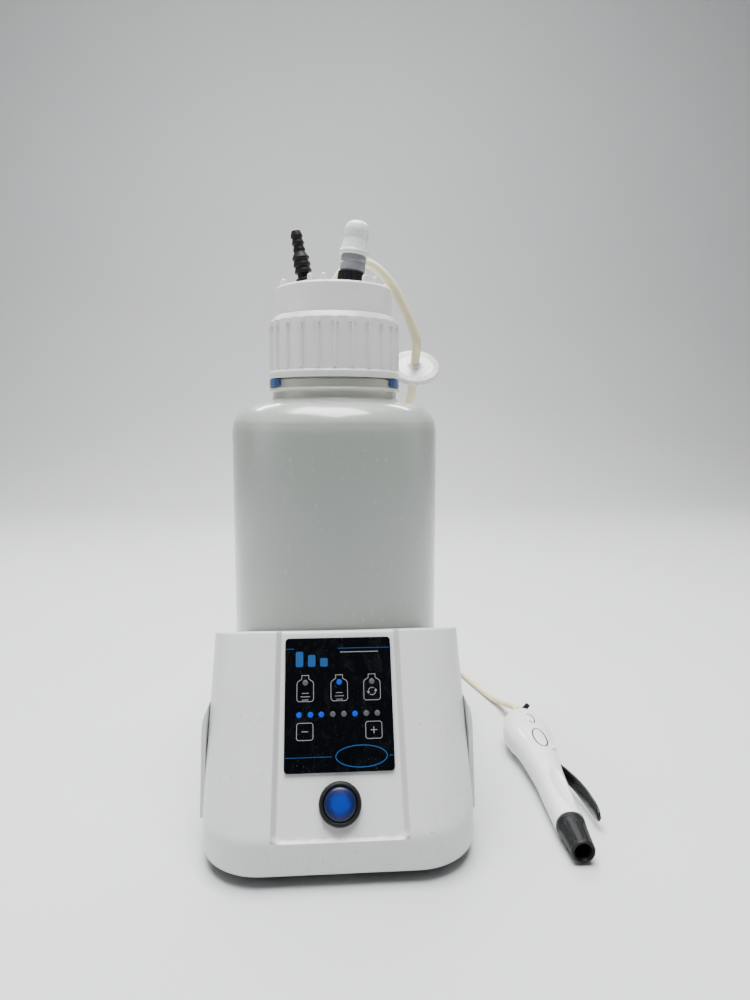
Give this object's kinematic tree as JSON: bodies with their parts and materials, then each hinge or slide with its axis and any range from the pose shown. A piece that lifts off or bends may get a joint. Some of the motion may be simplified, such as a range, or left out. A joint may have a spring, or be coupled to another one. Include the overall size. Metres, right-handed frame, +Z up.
{
  "type": "laboratory fluid aspiration unit",
  "caption": "Bench-top vacuum aspiration unit: pump housing, bottle in a well, screw cap with ports and in-line filter, and a hand controller on a free suction tube.",
  "frame": {"origin": "middle of the footprint of everything but the free tube, on the surface that the feet stand on", "axes": "+Z up, the control panel and button face -Y, the hand controller lies on the +X side"},
  "size_m": [0.292, 0.5217, 0.4503],
  "materials": {
    "housing_plastic": "satin moulded plastic",
    "handset_plastic": "satin moulded plastic",
    "cap_plastic": "semi-gloss moulded polypropylene",
    "bottle_plastic": "milky translucent polypropylene",
    "clear_plastic": "milky translucent plastic",
    "grey_clear_plastic": "translucent grey plastic",
    "black_plastic": "fine satin black plastic",
    "touch_panel": "gloss black touch panel",
    "button_lens": "dark lens lit blue from behind",
    "clip_plastic": "satin blue plastic",
    "silicone": "translucent cream silicone",
    "black_rubber": "matte rubber",
    "steel": "plain steel",
    "aluminium": "die-cast aluminium",
    "circuit_board": "solder mask"
  },
  "bodies": {
    "base": {"housing_shell": "housing_plastic", "base_plate": "black_plastic", "foot_front_left": "black_rubber", "foot_front_right": "black_rubber", "foot_rear_left": "black_rubber", "foot_rear_right": "black_rubber", "base_screw_front_left": "steel", "base_screw_front_right": "steel", "base_screw_rear_left": "steel", "base_screw_rear_right": "steel", "side_grip_left": "housing_plastic", "side_grip_right": "housing_plastic", "control_panel": "touch_panel", "button_bezel": "black_plastic", "button_spring": "steel", "button_switch": "black_plastic", "control_board": "circuit_board", "power_supply": "aluminium", "power_inlet": "black_plastic", "pump_inlet_nozzle": "black_plastic", "pump_bracket": "steel", "motor": "steel", "crankcase": "aluminium", "diaphragm": "black_rubber", "pump_head_plate": "aluminium", "valve_gasket": "black_rubber", "pump_head_cover": "black_plastic", "hand_shell_upper": "handset_plastic", "hand_shell_lower": "handset_plastic", "pipette_seat": "black_rubber", "pinch_tube": "silicone", "tail_fitting": "black_plastic", "trigger_pin": "steel", "trigger_spring": "steel", "suction_tube": "silicone", "suction_tube_coil": "silicone", "tube_connector": "black_plastic"},
    "bottle": {"bottle": "bottle_plastic", "neck_clip": "clip_plastic"},
    "head": {"cap_head": "cap_plastic", "cap_gasket": "black_rubber", "inlet_barb": "black_plastic", "coupling_socket": "grey_clear_plastic", "coupling_nut": "black_plastic", "vacuum_nozzle": "clear_plastic", "filter_hose": "silicone", "filter_upper_shell": "cap_plastic", "filter_lower_shell": "cap_plastic", "filter_membrane": "clear_plastic", "pump_hose": "silicone"},
    "washer": {"slip_washer": "clear_plastic"},
    "ring": {"screw_ring": "cap_plastic"},
    "closure": {"coupling_closure": "clear_plastic"},
    "button": {"power_button": "button_lens"},
    "trigger": {"trigger": "black_plastic"},
    "nose": {"nose_nut": "black_plastic"},
    "rotor": {"crankshaft": "steel", "cooling_fan": "black_plastic", "crank_bearing": "steel"},
    "rod": {"connecting_rod": "aluminium"}
  },
  "joints": [
    {"name": "bottle_lift", "type": "slide", "parent": "base", "child": "bottle", "axis": [0, 0, 1], "range_m": [0, 0.15]},
    {"name": "head_lift", "type": "slide", "parent": "bottle", "child": "head", "axis": [0, 0, 1], "range_m": [0, 0.05]},
    {"name": "ring_rise", "type": "slide", "parent": "head", "child": "washer", "axis": [0, 0, 1], "range_m": [0, 0.0077]},
    {"name": "ring_turn", "type": "hinge", "parent": "washer", "child": "ring", "pos_m": [-0.04775, -0.0503, 0.35], "axis": [0, 0, 1], "range_deg": [0, 540]},
    {"name": "closure_pull", "type": "slide", "parent": "head", "child": "closure", "axis": [0.1271, 0, 0.9919], "range_m": [0, 0.025]},
    {"name": "button_press", "type": "slide", "parent": "base", "child": "button", "axis": [0, 0.8788, -0.4772], "range_m": [0, 0.002], "stiffness_N_per_m": 600, "springref_m": -0.001, "deforming": ["button_spring"]},
    {"name": "trigger_squeeze", "type": "hinge", "parent": "base", "child": "trigger", "pos_m": [0.13151, -0.0747, 0.01384], "axis": [0, 0.0339, -0.9994], "range_deg": [0, 6], "stiffness_Nm_per_rad": 0.6, "springref_deg": -5.73, "deforming": ["trigger_spring"]},
    {"name": "nose_turn", "type": "hinge", "parent": "base", "child": "nose", "pos_m": [0.11572, -0.19556, 0.00975], "axis": [0.0436, 0.9985, 0.0338], "range_deg": [0, 270]},
    {"name": "crank_spin", "type": "hinge", "parent": "base", "child": "rotor", "pos_m": [-0.04775, 0.1217, 0.085], "axis": [1, 0, 0], "continuous": true},
    {"name": "rod_slide", "type": "slide", "parent": "base", "child": "rod", "axis": [0, 0, 1], "range_m": [-0.004, 0], "stiffness_N_per_m": 1500, "deforming": ["diaphragm"]}
  ],
  "couplings": [
    {"joint": "ring_rise", "follows": "ring_turn", "m_per_rad": 0.0008085}
  ]
}
